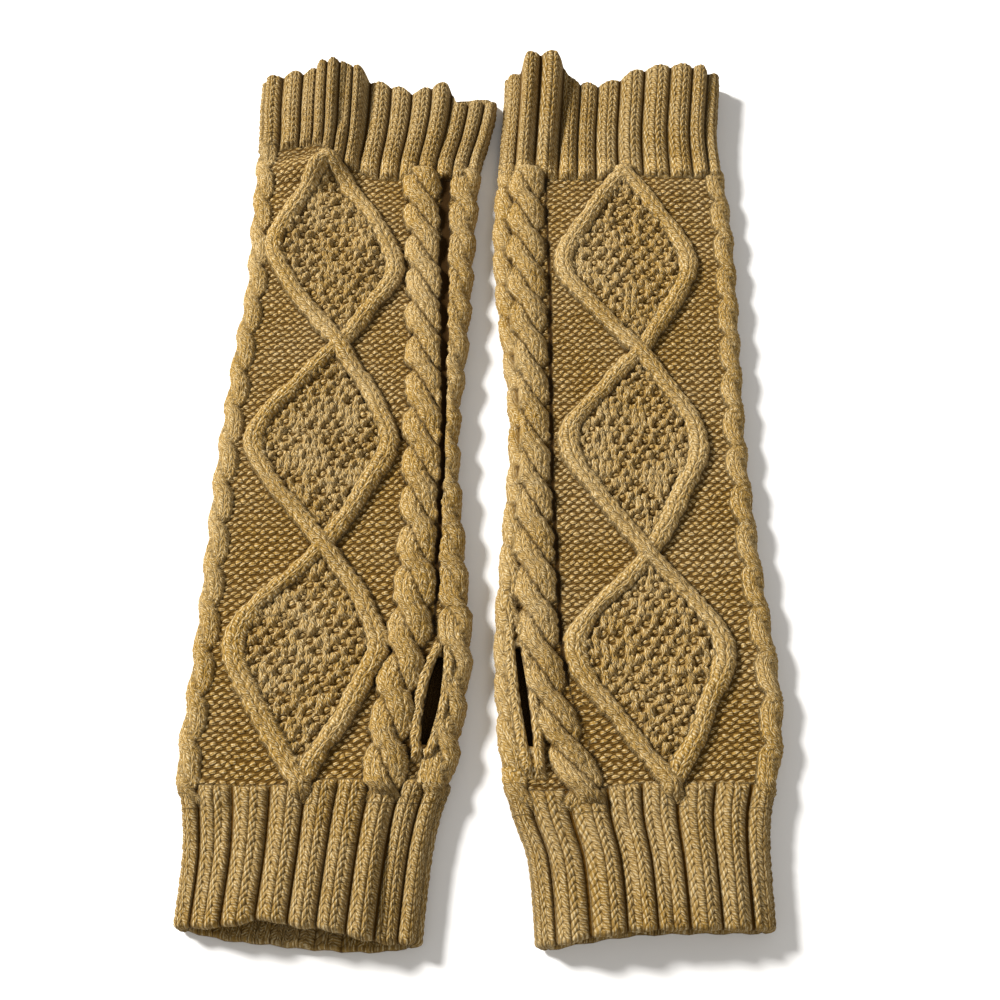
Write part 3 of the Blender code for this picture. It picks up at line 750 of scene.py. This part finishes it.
def cut_slit(build, piece, points, along):
    """Opens the thumb slit through both skins and joins their edges into lips."""
    build.verts.ensure_lookup_table()
    at = slit_station(piece.glove, piece.ring)
    half = slit_lens(piece.glove, points[at, :, 1])[1]
    outer = np.arange(along) < len(piece.shares)
    edge_loops = []
    for skin in (outer, ~outer):
        rows = np.flatnonzero(skin & (half > 0.5))
        corners = {build.verts[station * along + row] for station in (at, at + 1) for row in rows}
        cut = [f for v in corners for f in v.link_faces if all(w in corners for w in f.verts)]
        bmesh.ops.delete(build, geom=list(set(cut)), context="FACES_ONLY")
        rim = {e for v in corners for e in v.link_edges if len(e.link_faces) < 2}
        loose = [e for e in rim if not e.link_faces]
        edge_loops += [e for e in rim if e.link_faces and all(v in corners for v in e.verts)]
        bmesh.ops.delete(build, geom=loose, context="EDGES")
    stitch = build.loops.layers.float_vector["stitch"]
    lips = bmesh.ops.bridge_loops(build, edges=edge_loops)["faces"]
    for face in lips:
        for corner in face.loops:
            beside = next(c for c in corner.vert.link_loops if c.face not in lips)
            corner[stitch] = beside[stitch]


def layer_edge(ring, upper, lower):
    """An edge that goes round each fold from the upper layer's to the lower layer's."""
    return lower + (upper - lower) * (1.0 + np.sin(ring.angle)) / 2


def arm_cuff(glove):
    """The ribs at the arm end; the lower layer's edge is calmer and a little short of the upper one."""
    ring = round_the_tube(glove, CUFF_CELL[0])
    upper = read(glove.mouth, ring.across, "edge_y")
    lower = read(glove.mouth, ring.across * 0.6 + 0.2, "edge_y") - 1.5
    scallop = RIB_SCALLOP * np.cos(2 * math.pi * ring.arm_count)
    rows = round(ARM_CUFF_LENGTH / CUFF_CELL[1])
    return Piece(
        glove=glove, name="arm_cuff", ring=ring,
        first=np.full(ring.across.shape, ARM_JOIN - JOIN_LAP),
        last=layer_edge(ring, upper, lower) + scallop - RIM_ROUND,
        shares=np.arange(rows + 1) / rows, inner_shares=np.arange(rows // 2 + 1) / (rows // 2),
        cell=CUFF_CELL, slot="rib", flat=ARM_CUFF_FLAT)


def hand_cuff(glove):
    """The ribs at the hand end, with both layers' edges as the hem table has them."""
    ring = round_the_tube(glove, CUFF_CELL[0])
    upper = read(glove.hem, ring.across, "front_y")
    lower = read(glove.hem, ring.across, "edge_y")
    scallop = RIB_SCALLOP * np.cos(2 * math.pi * ring.hand_count)
    rows = round(HAND_CUFF_LENGTH / CUFF_CELL[1])
    return Piece(
        glove=glove, name="hand_cuff", ring=ring,
        first=np.full(ring.across.shape, HAND_JOIN + JOIN_LAP),
        last=layer_edge(ring, upper, lower) - scallop + RIM_ROUND,
        shares=np.arange(rows + 1) / rows, inner_shares=np.arange(rows // 2 + 1) / (rows // 2),
        cell=CUFF_CELL, slot="rib", flat=HAND_CUFF_FLAT)


def body(glove):
    """The patterned stretch; its plain inside has few rows, and more of them beside the slit."""
    ring = round_the_tube(glove, BODY_CELL[0])
    length = ARM_JOIN - HAND_JOIN
    rows = round(length / BODY_CELL[1])
    slit = glove.slit
    coarse = np.linspace(HAND_JOIN, ARM_JOIN, round(length / INNER_CELL) + 1)
    fine = np.arange(slit.end_y - SLIT_MARGIN, slit.top_y + SLIT_MARGIN, SLIT_INNER_CELL)
    clear = (coarse < fine[0] - SLIT_MARGIN) | (coarse > fine[-1] + SLIT_MARGIN)
    inner = (np.sort(np.concatenate([coarse[clear], fine])) - HAND_JOIN) / length
    return Piece(
        glove=glove, name="body", ring=ring,
        first=np.full(ring.across.shape, HAND_JOIN), last=np.full(ring.across.shape, ARM_JOIN),
        shares=np.arange(rows + 1) / rows, inner_shares=inner,
        cell=BODY_CELL, slot="knit", flat=BODY_FLAT)


def math_node(tree, operation, first, second=None, third=None, clamp=False):
    node = tree.nodes.new("ShaderNodeMath")
    node.operation = operation
    node.use_clamp = clamp
    for place, value in zip(node.inputs, (first, second, third)):
        if value is None:
            continue
        if isinstance(value, (int, float)):
            place.default_value = value
        else:
            tree.links.new(value, place)
    return node.outputs[0]


def socket(tree, name, kind, way="INPUT"):
    tree.interface.new_socket(name, in_out=way, socket_type="NodeSocket" + kind)


def pick(tree, share, first, second, kind="FLOAT"):
    """The first value where the share is 0, the second where it is 1."""
    node = tree.nodes.new("ShaderNodeMix")
    node.data_type = kind
    ends = (6, 7) if kind == "RGBA" else (2, 3)
    tree.links.new(share, node.inputs[0])
    for place, value in zip(ends, (first, second)):
        tree.links.new(value, node.inputs[place])
    return node.outputs[2 if kind == "RGBA" else 0]


def stitch_group():
    """Yarn height over the stitches from 0 to 1, and the plies twisted into the yarn."""
    group = bpy.data.node_groups.new("stitches", "ShaderNodeTree")
    socket(group, "Stitch", "Vector")
    socket(group, "Height", "Float", "OUTPUT")
    socket(group, "Ply", "Float", "OUTPUT")
    start = group.nodes.new("NodeGroupInput")
    end = group.nodes.new("NodeGroupOutput")
    parts = group.nodes.new("ShaderNodeSeparateXYZ")
    group.links.new(start.outputs["Stitch"], parts.inputs[0])
    u, v, knit = parts.outputs

    def calc(operation, *values, clamp=False):
        return math_node(group, operation, *values, clamp=clamp)

    def folded(value, factor=2.0):
        return calc("MULTIPLY_ADD", calc("FRACT", value), factor, -factor / 2)

    def hump_node(value, power):
        squared = calc("POWER", calc("ABSOLUTE", folded(value)), 2.0)
        return calc("POWER", calc("SUBTRACT", 1.0, squared, clamp=True), power)

    side = calc("ABSOLUTE", folded(u))
    yarn = calc("MULTIPLY_ADD", hump_node(calc("MULTIPLY_ADD", side, 1.25, v), 0.6), 0.65, 0.35)
    aside = calc("DIVIDE", calc("SUBTRACT", side, LEG_MIDDLE), 1.0 - LEG_MIDDLE)
    leg = calc("SUBTRACT", 1.0, calc("MULTIPLY", aside, aside), clamp=True)
    knitted = calc("MULTIPLY", calc("POWER", leg, 0.36), yarn)

    purled = None
    for half, bow in ((0.0, PURL_BOW), (0.5, -PURL_BOW)):
        beside = folded(calc("ADD", u, half), 2.8)
        rest = calc("SUBTRACT", 1.0, calc("MULTIPLY", beside, beside))
        above = calc("MULTIPLY_ADD", rest, -bow, folded(calc("ADD", v, half), 1.0))
        above = calc("MULTIPLY", above, 3.8)
        oval = calc("SUBTRACT", rest, calc("MULTIPLY", above, above), clamp=True)
        oval = calc("MULTIPLY_ADD", calc("POWER", oval, 0.8), 0.72, 0.28)
        purled = oval if purled is None else calc("MAXIMUM", purled, oval)

    def ply(along_u, along_v):
        return calc("SINE", calc("MULTIPLY_ADD", u, along_u, calc("MULTIPLY", v, along_v)))

    right_leg = calc("GREATER_THAN", calc("FRACT", u), 0.5)
    leg_ply = pick(group, right_leg, ply(27.0, 3.0), ply(13.0, 17.0))
    soft = calc("MULTIPLY", knit, calc("SUBTRACT", 1.0, knit))
    raised = calc("MULTIPLY_ADD", soft, 0.6, pick(group, knit, purled, knitted))
    group.links.new(raised, end.inputs["Height"])
    group.links.new(pick(group, knit, ply(-9.0, 24.0), leg_ply), end.inputs["Ply"])
    return group


def heather_group():
    """Heathered yarn: its colour with painted shade and painted highlight, and a fine height of plies and
    fibres over the stitches.
    """
    group = bpy.data.node_groups.new("heather yarn", "ShaderNodeTree")
    for name in ("Deep", "Middle", "Light", "Shade"):
        socket(group, name, "Color")
    for name in ("Height", "Ply", "Painted shade"):
        socket(group, name, "Float")
    socket(group, "Color", "Color", "OUTPUT")
    socket(group, "Relief", "Float", "OUTPUT")
    start = group.nodes.new("NodeGroupInput")
    end = group.nodes.new("NodeGroupOutput")
    place = group.nodes.new("ShaderNodeTexCoord")

    def noise(scale, detail, roughness, stretch=(1.0, 1.0, 1.0)):
        mapping = group.nodes.new("ShaderNodeMapping")
        mapping.inputs["Scale"].default_value = stretch
        group.links.new(place.outputs["Object"], mapping.inputs["Vector"])
        node = group.nodes.new("ShaderNodeTexNoise")
        node.inputs["Scale"].default_value = scale
        node.inputs["Detail"].default_value = detail
        node.inputs["Roughness"].default_value = roughness
        group.links.new(mapping.outputs[0], node.inputs["Vector"])
        return node.outputs["Fac"]

    def spread(value, low, high, strength=1.0):
        node = group.nodes.new("ShaderNodeMapRange")
        node.interpolation_type = "SMOOTHSTEP"
        node.inputs["From Min"].default_value = low
        node.inputs["From Max"].default_value = high
        node.inputs["To Max"].default_value = strength
        group.links.new(value, node.inputs["Value"])
        return node.outputs[0]

    def calc(operation, *values, clamp=False):
        return math_node(group, operation, *values, clamp=clamp)

    deep, middle, light, shade = (start.outputs[name] for name in ("Deep", "Middle", "Light", "Shade"))
    height, ply, painted_shade = (start.outputs[name] for name in ("Height", "Ply", "Painted shade"))
    fibres = noise(1300.0, 3.0, 0.7, (1.0, 0.45, 1.0))
    flecks = noise(650.0, 2.0, 0.5)
    patches = noise(45.0, 2.0, 0.5)
    # Painted shade: the colour darkens from the middle wool to the deep one in the gaps between the crests
    # of the stitches
    crest = spread(height, 0.14, 0.78)
    colour = pick(group, crest, deep, middle, "RGBA")
    mixed = calc("ADD", fibres, calc("MULTIPLY", ply, 0.15))
    # Painted highlight: the light colour is laid on the crests of the stitches only, broken up by the
    # fibres and plies
    lit = calc("MULTIPLY", calc("MULTIPLY", crest, crest), spread(mixed, 0.46, 0.74, 0.85))
    colour = pick(group, lit, colour, light, "RGBA")
    colour = pick(group, spread(flecks, 0.53, 0.72, 0.5), colour, deep, "RGBA")
    # Broad patches of painted highlight on the crests, which also vary the tone at random
    patchy_highlight = calc("MULTIPLY", crest, spread(patches, 0.35, 0.7, 0.17))
    colour = pick(group, patchy_highlight, colour, light, "RGBA")
    # Painted shade: hollows, drawn-in grooves and the inside turn deep, and the deepest of them the shade
    # colour
    colour = pick(group, spread(painted_shade, 0.1, 1.4, 0.85), colour, deep, "RGBA")
    colour = pick(group, spread(painted_shade, 0.9, 2.0, 0.8), colour, shade, "RGBA")
    group.links.new(colour, end.inputs["Color"])
    relief = calc("MULTIPLY_ADD", ply, 0.14, height)
    group.links.new(calc("MULTIPLY_ADD", fibres, 0.5, relief), end.inputs["Relief"])
    return group


def yarn(name, groups, deep, middle, light):
    """A wool with painted highlight on the crests of its stitches, painted shade in their gaps and in
    hollows, and fine fibres.
    """
    material = bpy.data.materials.new(name)
    material.use_nodes = True
    tree = material.node_tree
    shader = tree.nodes["Principled BSDF"]
    stitches, heather = (tree.nodes.new("ShaderNodeGroup") for group in groups)
    stitches.node_tree, heather.node_tree = groups
    attributes = {}
    for label in ("stitch", "painted_shade"):
        attributes[label] = tree.nodes.new("ShaderNodeAttribute")
        attributes[label].attribute_name = label
    tree.links.new(attributes["stitch"].outputs["Vector"], stitches.inputs["Stitch"])
    tree.links.new(attributes["painted_shade"].outputs["Fac"], heather.inputs["Painted shade"])
    tree.links.new(stitches.outputs["Height"], heather.inputs["Height"])
    tree.links.new(stitches.outputs["Ply"], heather.inputs["Ply"])
    for label, colour in (("Deep", deep), ("Middle", middle), ("Light", light), ("Shade", SHADE_WOOL)):
        heather.inputs[label].default_value = (*colour, 1.0)
    tree.links.new(heather.outputs["Color"], shader.inputs["Base Color"])
    bump = tree.nodes.new("ShaderNodeBump")
    bump.inputs["Strength"].default_value = 1.0
    bump.inputs["Distance"].default_value = 0.0004
    tree.links.new(heather.outputs["Relief"], bump.inputs["Height"])
    tree.links.new(bump.outputs["Normal"], shader.inputs["Normal"])
    shader.inputs["Roughness"].default_value = 0.88
    shader.inputs["Specular IOR Level"].default_value = 0.04
    shader.inputs["Sheen Weight"].default_value = 0.05
    shader.inputs["Sheen Roughness"].default_value = 0.5
    shader.inputs["Sheen Tint"].default_value = (1.0, 0.86, 0.62, 1.0)
    return material


def add_camera():
    data = bpy.data.cameras.new("view")
    data.sensor_width = SENSOR
    data.lens = LENS
    data.clip_start = 0.01
    camera = bpy.data.objects.new("view", data)
    camera.location = (SHIFT_X * MM, (SHIFT_Y - CAMERA_BACK) * MM, CAMERA_HEIGHT * MM)
    camera.rotation_euler = (CAMERA_TILT, 0.0, 0.0)
    bpy.context.collection.objects.link(camera)
    bpy.context.scene.camera = camera


def add_light(name, place, size, power):
    """A round lamp that is aimed at the middle of the pair."""
    data = bpy.data.lights.new(name, "AREA")
    data.shape = "DISK"
    data.size = size
    data.energy = power
    data.color = LAMP_COLOUR
    light = bpy.data.objects.new(name, data)
    light.location = place
    light.rotation_euler = (-Vector(place)).to_track_quat("-Z", "Y").to_euler()
    bpy.context.collection.objects.link(light)


def add_floor():
    bpy.ops.object.select_all(action="DESELECT")
    bpy.ops.mesh.primitive_plane_add(size=6.0)
    floor = bpy.context.active_object
    floor.name = "floor"
    material = bpy.data.materials.new("floor")
    material.use_nodes = True
    shader = material.node_tree.nodes["Principled BSDF"]
    shader.inputs["Base Color"].default_value = (0.86, 0.86, 0.86, 1.0)
    shader.inputs["Roughness"].default_value = 0.9
    floor.data.materials.append(material)


def add_world():
    world = bpy.data.worlds.new("studio")
    bpy.context.scene.world = world
    world.use_nodes = True
    back = world.node_tree.nodes["Background"]
    back.inputs["Color"].default_value = (1.0, 0.96, 0.9, 1.0)
    back.inputs["Strength"].default_value = 0.37


def main():
    groups = (stitch_group(), heather_group())
    finishes = {
        "knit": yarn("knit wool", groups, DEEP_SHADE_AND_FLECK_WOOL, BODY_WOOL, LIGHT_FIBRE_AND_HIGHLIGHT_WOOL),
        # The cuffs take the body's wool painted darker, as painted shade
        "rib": yarn("rib wool shaded darker", groups, DEEP_SHADE_AND_FLECK_WOOL, RIB_SHADED_WOOL, RIB_SHADED_FIBRE_AND_HIGHLIGHT_WOOL),
    }
    for glove in (LEFT, RIGHT):
        for piece in (arm_cuff(glove), body(glove), hand_cuff(glove)):
            made = knit_piece(piece)
            made.data.materials.append(finishes[piece.slot])
            node = f"{glove.name}_{piece.name}"
            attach(made, "root")
            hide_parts(node)
    add_camera()
    add_floor()
    add_world()
    bpy.context.scene.view_settings.view_transform = "Standard"
    add_light("key", place=(-1.34, 0.78, 1.06), size=0.42, power=90.0)
    add_light("fill", place=(0.6, -0.5, 0.8), size=0.9, power=2.5)


main()
